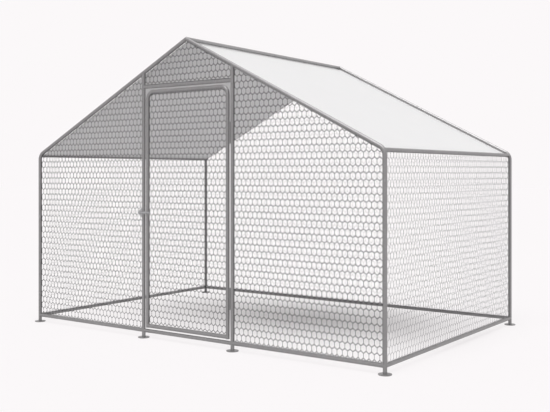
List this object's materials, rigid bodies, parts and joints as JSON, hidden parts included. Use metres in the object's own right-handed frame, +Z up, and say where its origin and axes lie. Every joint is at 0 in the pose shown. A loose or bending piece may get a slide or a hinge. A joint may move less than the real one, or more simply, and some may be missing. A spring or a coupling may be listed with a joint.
{
  "type": "chicken run",
  "caption": "Walk-in poultry run of slip-together steel tube with a gabled roof cover, hexagonal wire netting on its walls and a hinged front door with a sliding bolt.",
  "frame": {"origin": "on the ground, at the middle of the plan under the ridge", "axes": "+X to the right along the front wall as seen from outside, +Y from the front wall to the rear wall, +Z up"},
  "size_m": [3.055, 2.055, 2.05],
  "materials": {
    "galvanised_tube": "matt galvanised",
    "net_wire": "matt galvanised, weathered",
    "roof_sheet": "coated woven sheet, slight sheen",
    "zinc_hardware": "bright zinc plated"
  },
  "bodies": {
    "frame": {"post_front_left": "galvanised_tube", "post_front_right": "galvanised_tube", "post_rear_left": "galvanised_tube", "post_rear_right": "galvanised_tube", "door_post_left": "galvanised_tube", "door_post_right": "galvanised_tube", "foot_front_left": "galvanised_tube", "foot_front_right": "galvanised_tube", "foot_rear_left": "galvanised_tube", "foot_rear_right": "galvanised_tube", "foot_door_left": "galvanised_tube", "foot_door_right": "galvanised_tube", "elbow_front_left": "galvanised_tube", "elbow_front_right": "galvanised_tube", "elbow_rear_left": "galvanised_tube", "elbow_rear_right": "galvanised_tube", "rafter_front_left": "galvanised_tube", "rafter_front_right": "galvanised_tube", "rafter_rear_left": "galvanised_tube", "rafter_rear_right": "galvanised_tube", "apex_front": "galvanised_tube", "apex_rear": "galvanised_tube", "ridge_tube": "galvanised_tube", "eave_rail_left": "galvanised_tube", "eave_rail_right": "galvanised_tube", "bottom_rail_front_left": "galvanised_tube", "bottom_rail_front_right": "galvanised_tube", "bottom_rail_rear": "galvanised_tube", "bottom_rail_left": "galvanised_tube", "bottom_rail_right": "galvanised_tube", "door_sill": "galvanised_tube", "door_head_rail": "galvanised_tube", "net_front_left": "net_wire", "net_front_right": "net_wire", "net_gable": "net_wire", "net_rear": "net_wire", "net_left": "net_wire", "net_right": "net_wire", "roof_cover": "roof_sheet", "joint_screws": "zinc_hardware", "post_hinge_upper": "galvanised_tube", "post_hinge_lower": "galvanised_tube", "hinge_pins": "zinc_hardware", "latch_keeper": "galvanised_tube"},
    "door": {"door_frame": "galvanised_tube", "door_bottom_rail": "galvanised_tube", "door_net": "net_wire", "door_hinge_upper": "galvanised_tube", "door_hinge_lower": "galvanised_tube", "latch_guide": "galvanised_tube"},
    "bolt": {"latch_bolt": "zinc_hardware"}
  },
  "joints": [
    {"name": "door_swing", "type": "hinge", "parent": "frame", "child": "door", "pos_m": [0.37175, -0.9875, 0.9], "axis": [0, 0, 1], "range_deg": [0, 95]},
    {"name": "bolt_slide", "type": "slide", "parent": "door", "child": "bolt", "axis": [-1, 0, 0], "range_m": [0, 0.018]}
  ]
}
